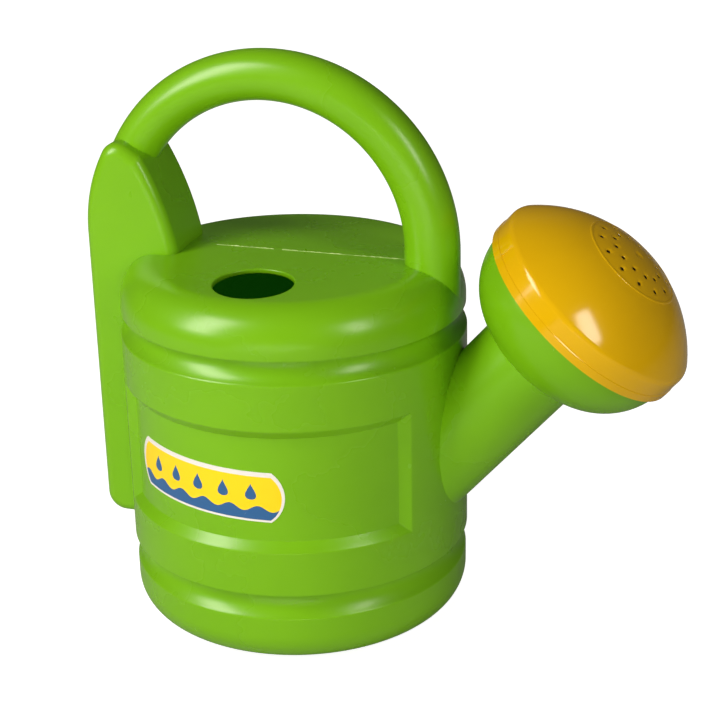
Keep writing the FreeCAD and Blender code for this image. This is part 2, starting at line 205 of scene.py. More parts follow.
def mouldedSkinGroup():
    # Fine orange peel, slow waves in the wall, a cloudy tint and faint scuffs.
    tree, given, result = newGroup(
        "mouldedSkin",
        [("Vector", "NodeSocketVector", None), ("Peel", "NodeSocketFloat", 0.3),
         ("Waves", "NodeSocketFloat", 0.3), ("Scuffs", "NodeSocketFloat", 0.3)],
        [("Height", "NodeSocketFloat"), ("Tint", "NodeSocketFloat"), ("Scuff", "NodeSocketFloat")])
    peel = addNode(tree, "ShaderNodeTexNoise", Scale=1400.0, Detail=3.0, Roughness=0.6)
    waves = addNode(tree, "ShaderNodeTexNoise", Scale=34.0, Detail=1.5, Roughness=0.4)
    tint = addNode(tree, "ShaderNodeTexNoise", Scale=22.0, Detail=4.0, Roughness=0.55)
    scratch = addNode(tree, "ShaderNodeTexNoise", Scale=60.0, Detail=8.0, Roughness=0.75, Distortion=1.6)
    for texture in (peel, waves, tint, scratch):
        link(tree, given.outputs["Vector"], texture.inputs["Vector"])
    peelPart = calc(tree, "MULTIPLY", peel.outputs["Fac"], given.outputs["Peel"])
    wavePart = calc(tree, "MULTIPLY", waves.outputs["Fac"], given.outputs["Waves"])
    link(tree, calc(tree, "ADD", peelPart, wavePart), result.inputs["Height"])
    link(tree, tint.outputs["Fac"], result.inputs["Tint"])
    thin = addNode(tree, "ShaderNodeMapRange")
    thin.inputs["From Min"].default_value = 0.66
    thin.inputs["From Max"].default_value = 0.74
    link(tree, scratch.outputs["Fac"], thin.inputs["Value"])
    scuff = calc(tree, "MULTIPLY", thin.outputs["Result"], given.outputs["Scuffs"])
    link(tree, scuff, result.inputs["Scuff"])
    return tree


skinGroup = mouldedSkinGroup()


def addSkin(tree, look):
    place = addNode(tree, "ShaderNodeTexCoord")
    skin = addNode(tree, "ShaderNodeGroup")
    skin.node_tree = skinGroup
    for key in ("Peel", "Waves", "Scuffs"):
        skin.inputs[key].default_value = look[key.lower()]
    link(tree, place.outputs["Object"], skin.inputs["Vector"])
    return skin


def plasticMaterial(name, look):
    material, tree, shader = newMaterial(name)
    skin = addSkin(tree, look)
    colour = mixColour(tree, skin.outputs["Tint"], look["dark"], look["light"])
    colour = mixColour(tree, skin.outputs["Scuff"], colour, look["worn"])
    link(tree, colour, shader.inputs["Base Color"])
    gloss = addNode(tree, "ShaderNodeMapRange")
    gloss.inputs["To Min"].default_value = look["roughness"][0]
    gloss.inputs["To Max"].default_value = look["roughness"][1]
    link(tree, skin.outputs["Tint"], gloss.inputs["Value"])
    rough = calc(tree, "ADD", gloss.outputs["Result"], skin.outputs["Scuff"], clamp=True)
    link(tree, rough, shader.inputs["Roughness"])
    addBump(tree, shader, skin.outputs["Height"], look["bump"])
    shader.inputs["IOR"].default_value = look["ior"]
    shader.inputs["Specular IOR Level"].default_value = look["specular"]
    return material


greenLook = {
    "dark": (0.150, 0.400, 0.003), "light": (0.190, 0.470, 0.006), "worn": (0.30, 0.55, 0.10),
    "roughness": (0.24, 0.31), "bump": 0.25, "peel": 0.25, "waves": 0.5, "scuffs": 0.02,
    "ior": 1.5, "specular": 0.5,
}
yellowLook = {
    "dark": (0.66, 0.370, 0.0005), "light": (0.74, 0.440, 0.001), "worn": (0.75, 0.52, 0.10),
    "roughness": (0.09, 0.15), "bump": 0.12, "peel": 0.12, "waves": 1.0, "scuffs": 0.06,
    "ior": 1.52, "specular": 0.5,
}
flashLook = {
    "dark": (0.30, 0.52, 0.05), "light": (0.80, 0.88, 0.50), "worn": (0.85, 0.90, 0.70),
    "roughness": (0.25, 0.45), "bump": 0.3, "peel": 0.4, "waves": 1.2, "scuffs": 0.9,
    "ior": 1.5, "specular": 0.5,
}
# Painted shade: a near-black finish for the walls of the rose's holes, standing in for the shade inside
# them.
paintedShadeBoreLook = {
    "dark": (0.020, 0.014, 0.001), "light": (0.050, 0.032, 0.002), "worn": (0.10, 0.07, 0.01),
    "roughness": (0.5, 0.7), "bump": 0.2, "peel": 0.3, "waves": 0.5, "scuffs": 0.3,
    "ior": 1.5, "specular": 0.3,
}
greenPlastic = plasticMaterial("greenPolyethylene", greenLook)
paintedShadeBore = plasticMaterial("boreWithPaintedShade", paintedShadeBoreLook)
yellowPlastic = plasticMaterial("yellowPolypropylene", yellowLook)
paleFlash = plasticMaterial("paleSeamFlash", flashLook)
greenInsidePaintedGlow = plasticMaterial("greenPolyethyleneInsidePaintedGlow", greenLook)

# Painted glow: a faint green emission on the inside of the wall stands in for daylight coming through the
# thin plastic.
insideShader = greenInsidePaintedGlow.node_tree.nodes["Principled BSDF"]
insideShader.inputs["Emission Color"].default_value = (0.05, 0.75, 0.02, 1)
insideShader.inputs["Emission Strength"].default_value = 0.02


# Can: base, wall, shoulder and lid.

can = {
    "steps": 216,            # round the can; the panel ends fall on a step
    "footEdge": 13.0, "ringWidth": 5.5, "baseRecess": 3.0, "baseBevel": 4.0,
    "lowerGroove": 10.0, "upperGroove": 9.1, "grooveDepth": 4.5, "grooveLip": 0.8, "grooveSteps": 12,
    "panelHalfSteps": 35, "bevelSteps": 2, "panelMargin": 17.8, "panelBevel": 3.6, "panelDepth": 3.1,
    "rollWidth": 14.2, "rollHeight": 16.8, "rollSteps": 28, "lidSlope": 2.0,
    "holeX": -2.0, "holeY": -36.5, "holeRadius": 15.0, "holeEdge": 0.6, "holeSteps": 72,
    "crease": 0.45,
}


def groovePoints(below, above, z, height):
    root = canRadius - can["grooveDepth"]
    rise = height - can["grooveLip"]
    out = below - root
    cove = (out ** 2 + rise ** 2) / (2 * out)
    start = asin(rise / cove) * 180 / pi
    points = arcPoints((root + cove, z + rise), cove, 180 + start, 180, can["grooveSteps"])
    return points + [(root, z + height), (above, z + height)]


def canOutline():
    flat = footRadius - can["footEdge"]
    top = lidRidge
    lowerGroove, upperGroove = wallLow.z, wallHigh.z - can["upperGroove"]
    panelLow = lowerGroove + can["lowerGroove"] + can["panelMargin"]
    panelHigh = upperGroove - can["panelMargin"]
    points = [(0, can["baseRecess"]), (flat - can["ringWidth"] - can["baseBevel"], can["baseRecess"]),
              (flat - can["ringWidth"], 0)]
    points += arcPoints((flat, can["footEdge"]), can["footEdge"], -90, 0, 24)
    points += groovePoints(footRadius, canRadius, lowerGroove, can["lowerGroove"])
    points += [(canRadius, panelLow + can["panelBevel"] * i / 2) for i in range(3)]
    points += [(canRadius, panelHigh - can["panelBevel"] * i / 2) for i in (2, 1, 0)]
    points += groovePoints(canRadius, shoulderRadius, upperGroove, can["upperGroove"])
    rollStart = shoulderRadius - can["rollWidth"]
    for i in range(can["rollSteps"] + 1):
        angle = radians(90 * i / can["rollSteps"])
        points.append((rollStart + can["rollWidth"] * cos(angle),
                       top - can["rollHeight"] * (1 - sin(angle))))
    return points, panelLow, panelHigh


def recessPanels(bm, low, high):
    # Sinks both panels. The depth grows over the sloped border, from each edge by itself,
    # so the corners are mitred.
    step = 2 * pi / can["steps"]
    depths = {}
    for vert in bm.verts:
        radius = Vector((vert.co.x, vert.co.y)).length
        turn = abs(atan2(vert.co.x, abs(vert.co.y)))
        inward = min(vert.co.z - low, high - vert.co.z) / can["panelBevel"]
        sideways = (can["panelHalfSteps"] * step - turn) / (can["bevelSteps"] * step)
        share = max(0, min(1, inward, sideways))
        if radius > canRadius - 0.01 and share > 0.01:
            depths[vert] = round(share * can["panelDepth"], 3)
            vert.co.xy *= 1 - depths[vert] / radius
    for face in bm.faces[:]:
        levels = [depths.get(vert, 0) for vert in face.verts]
        odd = [i for i, level in enumerate(levels) if levels.count(level) == 1]
        if len(levels) == 4 and len(odd) == 1:
            bmesh.utils.face_split(face, face.verts[odd[0]], face.verts[(odd[0] + 2) % 4])


def closeLid(bm):
    # Two flat halves that meet at the ridge; the fill hole is cut in the -Y half.
    rim = [edge for edge in bm.edges if edge.is_boundary]
    ends = [v for v in {v for edge in rim for v in edge.verts} if abs(v.co.y) < 0.001]
    ridge = bm.edges.new(ends)
    for side in (-1, 1):
        half = [edge for edge in rim if side * sum(v.co.y for v in edge.verts) > 0]
        loops = half + [ridge]
        if side < 0:
            hole = bmesh.ops.create_circle(bm, segments=can["holeSteps"], radius=can["holeRadius"])["verts"]
            bmesh.ops.translate(bm, verts=hole, vec=(can["holeX"], can["holeY"], lidRidge))
            loops += [edge for edge in bm.edges if edge.verts[0] in hole and edge.verts[1] in hole]
        bmesh.ops.triangle_fill(bm, edges=loops, use_beauty=True)


def slopeLid(bm):
    # The lid falls away from the ridge to each side, and the rolled edge follows it down.
    slope = tan(radians(can["lidSlope"]))
    for vert in bm.verts:
        share = (vert.co.z - shoulderLow.z) / (lidRidge - shoulderLow.z)
        if share > 0:
            vert.co.z -= abs(vert.co.y) * slope * min(share, 1)


def onHole(vert):
    away = Vector((vert.co.x - can["holeX"], vert.co.y - can["holeY"]))
    return abs(away.length - can["holeRadius"]) < 0.1


def makeCan():
    bm = bmesh.new()
    outline, panelLow, panelHigh = canOutline()
    turnOutline(bm, outline, can["steps"])
    recessPanels(bm, panelLow, panelHigh)
    bmesh.ops.recalc_face_normals(bm, faces=bm.faces[:])
    softenCreases(bm, can["crease"], chosen=lambda edge: edge.is_convex)
    softenCreases(bm, can["crease"] / 2, chosen=lambda edge: not edge.is_convex)
    closeLid(bm)
    slopeLid(bm)
    cleanNormals(bm)
    inner = bmesh.ops.solidify(bm, geom=bm.faces[:], thickness=wall)["geom"]
    # The inner faces take the material with the painted glow.
    for part in inner:
        if isinstance(part, bmesh.types.BMFace):
            part.material_index = 1
    mouth = [e for e in bm.edges if all(onHole(v) for v in e.verts) and e.calc_face_angle(0) > radians(60)]
    bmesh.ops.bevel(bm, geom=mouth, offset=can["holeEdge"], offset_type="OFFSET", segments=4,
                    affect="EDGES", profile=0.5, material=-1)
    finishPiece("can_body", bm, "can", ["can_base", "can_wall", "can_shoulder"],
                [greenPlastic, greenInsidePaintedGlow])


makeCan()

flash = {
    "runs": ((-31.0, -7.5), (-4.0, 45.0)),      # the moulding seam along the lid's ridge, with one gap
    "width": 0.42, "height": 0.30, "sunk": 0.3, "step": 0.8, "seed": 7, "raggedness": 1.4,
}


def makeStrip(bm, length, step, width, low, rise):
    # A thin bar along +X from the origin; rise gives its height at each step.
    count = max(1, round(length / step))
    ring = [bm.verts.new((0, y, z)) for y, z in
            ((-width / 2, low), (width / 2, low), (width / 5, rise(0)), (-width / 5, rise(0)))]
    edges = [bm.edges.new((ring[i], ring[(i + 1) % 4])) for i in range(4)]
    made = list(ring)
    for i in range(1, count + 1):
        ring, edges = growEdges(bm, edges)
        bmesh.ops.translate(bm, verts=ring, vec=(length / count, 0, 0))
        for vert in ring:
            if vert.co.z > low + 0.001:
                vert.co.z = rise(i / count)
        made += ring
    return made


def makeFlash():
    bm = bmesh.new()
    chance = Random(flash["seed"])

    def ragged(_):
        return flash["height"] * chance.random() ** flash["raggedness"]

    for start, end in flash["runs"]:
        verts = makeStrip(bm, end - start, flash["step"], flash["width"], -flash["sunk"], ragged)
        bmesh.ops.translate(bm, verts=verts, vec=(start, 0, lidRidge))
    closeEnds(bm)
    cleanNormals(bm)
    finishPiece("lid_seam_flash", bm, "can", [], [paleFlash], weighted=False)


makeFlash()


# Rear column.

handle = {
    "legInset": 11.2, "backOutset": 4.0, "rise": 4.4, "endAngle": 146.0,
    "legRadius": 10.5, "gripRadius": 9.0, "sides": 72, "steps": 96, "overrun": 7.0,
}
legX = canRadius - handle["legInset"]
handleRadius = canRadius + (handle["backOutset"] - handle["legInset"]) / 2
handleCentre = Vector((legX - handleRadius, 0, lidRidge + handle["rise"]))

column = {
    "ramp": 19.6, "straight": 6.0, "topOut": 8.0, "topIn": 6.5, "bulge": 1.6, "edge": 4.5,
    "footRound": 8.0, "topOutRound": 7.0, "topInRound": 6.0, "rampRound": 20.0,
    "tuck": 58.0, "below": 12.0,     # where the side hidden inside the can lies
    "steps": 40,
}


def roundInto(spot, inward, along, radius, centre, reach):
    # Centre of a rounding that touches a line through spot and the inside of an arc.
    start = spot + inward * radius - centre
    half = start.dot(along)
    travel = -half - sqrt(half ** 2 - start.dot(start) + (reach - radius) ** 2)
    return spot + inward * radius + along * travel


def angleTo(spot, centre):
    return atan2(spot.y - centre.y, spot.x - centre.x) * 180 / pi


def columnOutline():
    # In the XZ plane, from the foot round the back and over the top. Each rounding is worked
    # out from the lines and arcs that it touches.
    endAngle = radians(handle["endAngle"])
    radial, inward = Vector((cos(endAngle), sin(endAngle))), Vector((-sin(endAngle), cos(endAngle)))
    handleEnd = Vector((handleCentre.x, handleCentre.z)) + radial * handleRadius
    topOut, topIn = handleEnd + radial * column["topOut"], handleEnd - radial * column["topIn"]
    rear, low = columnLow.x, columnLow.z
    bendZ = lidRidge + column["straight"]
    bend = ((topOut.x - rear) ** 2 + (topOut.y - bendZ) ** 2) / (2 * (topOut.x - rear))
    bendCentre = Vector((rear + bend, bendZ))
    ramp = Vector((topIn.x + (topIn.y - lidRidge) * tan(radians(column["ramp"])), lidRidge))
    chord = ramp - topIn
    bow = ((chord.length / 2) ** 2 + column["bulge"] ** 2) / (2 * column["bulge"])
    side = Vector((-chord.y, chord.x)).normalized()
    bowCentre = (topIn + ramp) / 2 + side * (column["bulge"] - bow)
    foot, outer = column["footRound"], column["topOutRound"]
    inner, last = column["topInRound"], column["rampRound"]
    outerAt = roundInto(topOut, inward, -radial, outer, bendCentre, bend)
    innerAt = roundInto(topIn, inward, radial, inner, bowCentre, bow)
    lastAt = roundInto(ramp, Vector((-1, 0)), Vector((0, -1)), last, bowCentre, bow)
    topAngle = handle["endAngle"] - 90
    points = arcPoints((rear + foot, low + foot), foot, 270, 180, 12)
    points += arcPoints(bendCentre, bend, 180, angleTo(outerAt, bendCentre), column["steps"])
    points += arcPoints(outerAt, outer, angleTo(outerAt, bendCentre), topAngle, 12)[1:]
    points += arcPoints(innerAt, inner, topAngle, angleTo(innerAt, bowCentre), 12)
    points += arcPoints(bowCentre, bow, angleTo(innerAt, bowCentre), angleTo(lastAt, bowCentre), 16)[1:]
    points += arcPoints(lastAt, last, angleTo(lastAt, bowCentre), 0, 8)[1:]
    return points + [(ramp.x, lidRidge - column["below"]), (-column["tuck"], low)]


def makeColumn():
    bm = bmesh.new()
    verts, edges = drawOutline(bm, columnOutline(), closed=True)
    outline = bm.faces.new(verts)
    half = columnHigh.y
    bmesh.ops.translate(bm, verts=verts, vec=(0, -half, 0))
    bmesh.ops.translate(bm, verts=growFaces(bm, [outline]), vec=(0, 2 * half, 0))
    bmesh.ops.recalc_face_normals(bm, faces=bm.faces[:])
    sides = [e for e in bm.edges if abs(e.verts[0].co.y - e.verts[1].co.y) < 0.01]
    bmesh.ops.bevel(bm, geom=sides, offset=column["edge"], offset_type="OFFSET", segments=8,
                    affect="EDGES", profile=0.5, material=-1, clamp_overlap=False)
    cleanNormals(bm)
    finishPiece("rear_column_skin", bm, "can", ["rear_column"], [greenPlastic])


makeColumn()


# Handle.

def makeHandle():
    bm = bmesh.new()
    ring = bmesh.ops.create_circle(bm, segments=handle["sides"], radius=handle["legRadius"])["verts"]
    bmesh.ops.translate(bm, verts=ring, vec=(legX, 0, shoulderLow.z + wall))
    edges = bm.edges[:]
    ring, edges = growEdges(bm, edges)
    bmesh.ops.translate(bm, verts=ring, vec=(0, 0, handleCentre.z - shoulderLow.z - wall))
    end = handle["endAngle"] + handle["overrun"]
    step = radians(end / handle["steps"])
    turn = Matrix.Rotation(-step, 3, "Y")
    size = handle["legRadius"]
    for i in range(handle["steps"]):
        ring, edges = growEdges(bm, edges)
        bmesh.ops.rotate(bm, verts=ring, cent=handleCentre, matrix=turn)
        share = (i + 1) / handle["steps"]
        newSize = handle["legRadius"] + (handle["gripRadius"] - handle["legRadius"]) * share
        angle = step * (i + 1)
        middle = handleCentre + Vector((cos(angle), 0, sin(angle))) * handleRadius
        factor = newSize / size
        bmesh.ops.scale(bm, vec=(factor, factor, factor), verts=ring, space=Matrix.Translation(-middle))
        size = newSize
    closeEnds(bm)
    cleanNormals(bm)
    finishPiece("handle_loop", bm, "can", ["handle"], [greenPlastic])


makeHandle()


# Spout and bell, about their own axis with the rim plane at zero.

spout = {
    "angle": 48.5, "rootHeight": 78.3, "length": 69.0, "radius": 20.6, "sides": 144,
    "bellRadius": 41.5, "bellCurve": 26.5, "collarHeight": 6.5, "collarGap": 0.5,
    "flare": 1.6, "seat": 0.2, "lipRound": 0.5,
}
spoutAxis = Vector((cos(radians(spout["angle"])), 0, sin(radians(spout["angle"]))))
rimCentre = Vector((canRadius, 0, spout["rootHeight"])) + spoutAxis * spout["length"]
spoutFrame = Matrix.Translation(rimCentre) @ Matrix.Rotation(radians(90 - spout["angle"]), 4, "Y")


def makeSpoutTube():
    bm = bmesh.new()
    for radius in (spout["radius"], spout["radius"] - wall):
        ring = bmesh.ops.create_circle(bm, segments=spout["sides"], radius=radius)["verts"]
        bmesh.ops.translate(bm, verts=ring, vec=(0, 0, -spout["bellCurve"] + wall / 2))
        edges = [e for e in bm.edges if e.verts[0] in ring]
        for vert in growEdges(bm, edges)[0]:
            vert.co.z = rootDepth(vert.co.x, vert.co.y)
    openEnds = [e for e in bm.edges if e.is_boundary]
    for level in (True, False):
        pair = [e for e in openEnds if (e.verts[0].co.z > -spout["bellCurve"] * 1.5) == level]
        bmesh.ops.bridge_loops(bm, edges=pair)
    cleanNormals(bm)
    bmesh.ops.transform(bm, matrix=spoutFrame, verts=bm.verts[:])
    finishPiece("spout_pipe", bm, "can", ["spout_tube"], [greenPlastic])


def rootDepth(x, y):
    # Where the line along the spout through (x, y) enters the middle of the can's wall.
    start = spoutFrame @ Vector((x, y, 0))
    reach = canRadius - wall / 2
    along = (start.x - sqrt(reach ** 2 - start.y ** 2)) / spoutAxis.x
    return -along


def makeBell():
    bm = bmesh.new()
    centre = (spout["bellRadius"] - spout["bellCurve"], 0)
    flare = spout["flare"]
    pipe = spout["radius"]
    reach = spout["bellCurve"] + flare
    drop = -sqrt(reach ** 2 - (pipe + flare - centre[0]) ** 2)
    meet = atan2(-drop, centre[0] - pipe - flare) * 180 / pi
    collar = spout["bellRadius"] - spout["collarGap"]
    top = spout["collarHeight"]
    soft = spout["lipRound"]
    points = arcPoints((pipe + flare, drop), flare, 180, meet, 6)
    points += arcPoints(centre, spout["bellCurve"], meet - 180, 0, 44)[1:]
    points[-1] = (spout["bellRadius"], -spout["seat"])
    points += [(collar, -spout["seat"])]
    points += arcPoints((collar - soft, top - soft), soft, 0, 90, 4)
    points += arcPoints((collar - wall + soft, top - soft), soft, 90, 180, 4)
    points += arcPoints(centre, spout["bellCurve"] - wall, 0, -80, 36)[1:]
    points += [(pipe - wall / 2, -spout["bellCurve"] + wall), (pipe - wall / 2, drop)]
    turnOutline(bm, points, spout["sides"], closed=True)
    cleanNormals(bm)
    bmesh.ops.transform(bm, matrix=spoutFrame, verts=bm.verts[:])
    finishPiece("spout_bell_skin", bm, "can", ["spout_bell"], [greenPlastic])


makeSpoutTube()
makeBell()


# Rose.

rose = {
    "wall": 1.8, "seat": 0.2, "lipStep": 0.25, "lipHeight": 3.0, "height": 30.3, "dome": 55.4,
    "edge": 4.0, "steps": 192, "ringLine": 19.6, "ringHalf": 0.55, "ringProud": 0.2,
    "outerHoles": 15.7, "innerHoles": 10.6, "perRing": 12, "holeRadius": 0.78,
    "dimpleRadius": 1.5, "dimpleDepth": 0.22, "gateRadius": 2.1, "gateDepth": 0.5, "turn": 6.7,
    "cellHalf": 2.1,         # half the square of grid cells that each hole replaces
}


def domeHeight(r, radius):
    return rose["height"] - rose["dome"] + sqrt(radius ** 2 - r ** 2)


def roseOutline():
    inner = spout["bellRadius"] - rose["seat"]
    skirt = inner + rose["wall"]
    lip = skirt + rose["lipStep"]
    dome = rose["dome"]
    corner = rose["edge"]
    centreR = skirt - corner
    centreZ = rose["height"] - dome + sqrt((dome - corner) ** 2 - centreR ** 2)
    meet = atan2(centreZ - rose["height"] + dome, centreR) * 180 / pi
    points = [(inner, 0), (lip, 0), (lip, rose["lipHeight"])]
    points += [(skirt, rose["lipHeight"] + rose["lipStep"])]
    points += arcPoints((centreR, centreZ), corner, 0, meet, 12)
    start = points[-1][0]
    line = rose["ringLine"]
    half = rose["ringHalf"]
    outer = [start + (line + half - start) * i / 12 for i in range(1, 13)]
    ridge = [(line + half * cos(pi * i / 6), rose["ringProud"] * sin(pi * i / 6)) for i in range(7)]
    points += [(r, domeHeight(r, dome)) for r in outer[:-1]]
    points += [(r, domeHeight(r, dome) + rise) for r, rise in ridge]
    points += [(r, domeHeight(r, dome)) for r in gridRadii()]
    gate = rose["gateRadius"]
    for i in range(9):
        share = 1 - i / 8
        sink = rose["gateDepth"] * (1 - share ** 2)
        points.append((gate * share, domeHeight(gate * share, dome) - sink))
    points += [(r, domeHeight(r, dome - rose["wall"])) for r in [0, gate / 2] + gridRadii()[::-1]]
    flat = inner - corner / 2
    points += [(r, domeHeight(r, dome - rose["wall"])) for r in (20, 24, 28, 32, 36, flat)]
    return points + [(inner, domeHeight(inner, dome - rose["wall"]))]


def gridRadii():
    # Rings of the dome's grid inside the ring line, with a square of cells round every hole.
    radii = []
    for middle in (rose["outerHoles"], rose["innerHoles"]):
        radii += [middle + rose["cellHalf"] * (1 - i / 2) for i in range(5)]
    return radii + [7.2, 6.0, 4.6, 3.2, 2.4]


def cutHole(bm, radius, angle):
    middle = Vector((radius * cos(angle), radius * sin(angle), 0))
    radial, across = middle.normalized(), Vector((-sin(angle), cos(angle), 0))
    dimple = [(rose["dimpleRadius"], 0), (rose["dimpleRadius"] * 0.75, 0.6),
              (rose["holeRadius"] + 0.12, 0.9), (rose["holeRadius"], 1.6)]
    for dome, outside in ((rose["dome"], True), (rose["dome"] - rose["wall"], False)):
        patch = []
        for face in bm.faces:
            centre = face.calc_center_median()
            off = Vector((centre.x, centre.y, 0)) - middle
            near = max(abs(off.dot(radial)), abs(off.dot(across))) < rose["cellHalf"]
            if near and abs(centre.z - domeHeight(Vector((centre.x, centre.y)).length, dome)) < 0.3:
                patch.append(face)
        edges = [e for face in patch for e in face.edges]
        rim = [e for e in set(edges) if edges.count(e) == 1]
        bmesh.ops.delete(bm, geom=patch, context="FACES")
        for size, sink in dimple if outside else [(rose["holeRadius"], 0)]:
            rim = [e for e in growEdges(bm, rim)[1] if e.is_boundary]
            for vert in {v for e in rim for v in e.verts}:
                away = Vector((vert.co.x, vert.co.y, 0)) - middle
                spot = middle + away.normalized() * size
                height = domeHeight(spot.length, dome) - sink * rose["dimpleDepth"]
                vert.co = (spot.x, spot.y, height)
        if outside:
            upper = rim
    bore = bmesh.ops.bridge_loops(bm, edges=upper + rim)["faces"]
    # Painted shade: the bore walls take the near-black material for the shade inside the holes.
    for face in bore:
        face.material_index = 1


def makeRose():
    bm = bmesh.new()
    turnOutline(bm, roseOutline(), rose["steps"], closed=True)
    bmesh.ops.recalc_face_normals(bm, faces=bm.faces[:])
    pitch = 2 * pi / rose["perRing"]
    for i in range(rose["perRing"]):
        cutHole(bm, rose["innerHoles"], i * pitch)
        cutHole(bm, rose["outerHoles"], (i + 0.5) * pitch)
    cleanNormals(bm)
    turnVerts(bm, bm.verts[:], rose["turn"])
    bmesh.ops.transform(bm, matrix=spoutFrame, verts=bm.verts[:])
    finishPiece("rose_cap", bm, "rose", ["rose"], [yellowPlastic, paintedShadeBore])


makeRose()

knit = {
    "angle": -146.2, "from": 1.8, "length": 6.7, "radius": 43.1, "proud": 0.28, "width": 0.4,
    "step": 0.8, "sunk": 0.4, "fade": 0.6,
}


def makeKnitLine():
    # The faint raised line down the skirt where the plastic met in the mould.
    bm = bmesh.new()
    verts = makeStrip(bm, knit["length"], knit["step"], knit["width"], -knit["sunk"],
                      lambda share: knit["proud"] * (1 - knit["fade"] * share))
    closeEnds(bm)
    turnVerts(bm, verts, -90, "Y")
    turnVerts(bm, verts, 180)
    bmesh.ops.translate(bm, verts=verts, vec=(knit["radius"], 0, knit["from"]))
    turnVerts(bm, verts, knit["angle"])
    cleanNormals(bm)
    bmesh.ops.transform(bm, matrix=spoutFrame, verts=bm.verts[:])
    finishPiece("rose_knit_line", bm, "rose", [], [yellowPlastic], weighted=False)


makeKnitLine()


# Label: a printed strip with bowed ends on the floor of the recessed panel.

label = {
    "width": 70.0, "height": 20.0, "bow": 5.0, "turn": -16.3, "tilt": 1.6, "thickness": 0.15,
    "border": 1.3, "shiftX": -0.2, "shiftY": -0.5,
    "white": (0.80, 0.77, 0.75), "field": (0.98, 0.66, 0.008), "ink": (0.028, 0.115, 0.30),
    "dropPitch": 11.0, "dropReach": 27.0, "dropWidth": 2.2, "dropHeight": 3.4, "dropMiddle": 2.6,
    "waveLevel": -4.2, "waveSwing": 1.1, "waveLength": 11.0, "inkSharpness": 12.0,
    "peel": 0.2, "waves": 1.5, "scuffs": 0.35, "bump": 0.2, "roughness": (0.32, 0.52),
}
labelArc = ((label["height"] / 2) ** 2 + label["bow"] ** 2) / (2 * label["bow"])
labelArcX = label["width"] / 2 - labelArc


def inkEdge(tree, distance):
    # 1 where distance is positive, with a slightly soft printed edge.
    return calc(tree, "MULTIPLY", distance, label["inkSharpness"], clamp=True)


def labelMaterial():
    material, tree, shader = newMaterial("printedVinyl")
    place = addNode(tree, "ShaderNodeUVMap", uv_map="print")
    split = addNode(tree, "ShaderNodeSeparateXYZ")
    link(tree, place.outputs["UV"], split.inputs[0])
    x = calc(tree, "MULTIPLY_ADD", split.outputs["X"], label["width"], label["shiftX"] - label["width"] / 2)
    y = calc(tree, "MULTIPLY_ADD", split.outputs["Y"], label["height"],
             -label["shiftY"] - label["height"] / 2)
    sideways = calc(tree, "SUBTRACT", calc(tree, "ABSOLUTE", x), labelArcX)
    toArc = calc(tree, "SQRT", calc(tree, "ADD", calc(tree, "MULTIPLY", sideways, sideways),
                                    calc(tree, "MULTIPLY", y, y)))
    fromEnd = calc(tree, "SUBTRACT", labelArc, toArc)
    fromEnd = calc(tree, "MAXIMUM", fromEnd, calc(tree, "MULTIPLY", sideways, -10.0))
    fromEdge = calc(tree, "SUBTRACT", label["height"] / 2, calc(tree, "ABSOLUTE", y))
    inside = calc(tree, "MINIMUM", fromEnd, fromEdge)
    wave = calc(tree, "SINE", calc(tree, "MULTIPLY", x, 2 * pi / label["waveLength"]))
    wave = calc(tree, "MULTIPLY_ADD", wave, label["waveSwing"], label["waveLevel"])
    water = calc(tree, "SUBTRACT", wave, y)
    cell = calc(tree, "ADD", calc(tree, "DIVIDE", x, label["dropPitch"]), 0.5)
    cell = calc(tree, "SUBTRACT", calc(tree, "FRACT", calc(tree, "ADD", cell, 50.0)), 0.5)
    across = calc(tree, "ABSOLUTE", calc(tree, "MULTIPLY", cell, label["dropPitch"]))
    up = calc(tree, "DIVIDE", calc(tree, "SUBTRACT", y, label["dropMiddle"]), label["dropHeight"])
    bulge = calc(tree, "SUBTRACT", 1.0, calc(tree, "MULTIPLY", up, up))
    bulge = calc(tree, "SQRT", calc(tree, "MAXIMUM", bulge, 0.0))
    taper = calc(tree, "MULTIPLY", calc(tree, "SUBTRACT", 1.0, up), label["dropWidth"] / 1.3)
    drop = calc(tree, "SUBTRACT", calc(tree, "MULTIPLY", bulge, taper), across)
    fromMiddle = calc(tree, "ABSOLUTE", x)
    drop = calc(tree, "MINIMUM", drop, calc(tree, "SUBTRACT", label["dropReach"], fromMiddle))
    field = calc(tree, "SUBTRACT", inside, label["border"])
    inked = calc(tree, "MINIMUM", field, calc(tree, "MAXIMUM", water, drop))
    colour = mixColour(tree, inkEdge(tree, field), label["white"], label["field"])
    colour = mixColour(tree, inkEdge(tree, inked), colour, label["ink"])
    skin = addSkin(tree, label)
    colour = mixColour(tree, skin.outputs["Scuff"], colour, label["white"])
    link(tree, colour, shader.inputs["Base Color"])
    low, high = label["roughness"]
    link(tree, calc(tree, "MULTIPLY_ADD", skin.outputs["Tint"], high - low, low), shader.inputs["Roughness"])
    addBump(tree, shader, skin.outputs["Height"], label["bump"])
    return material


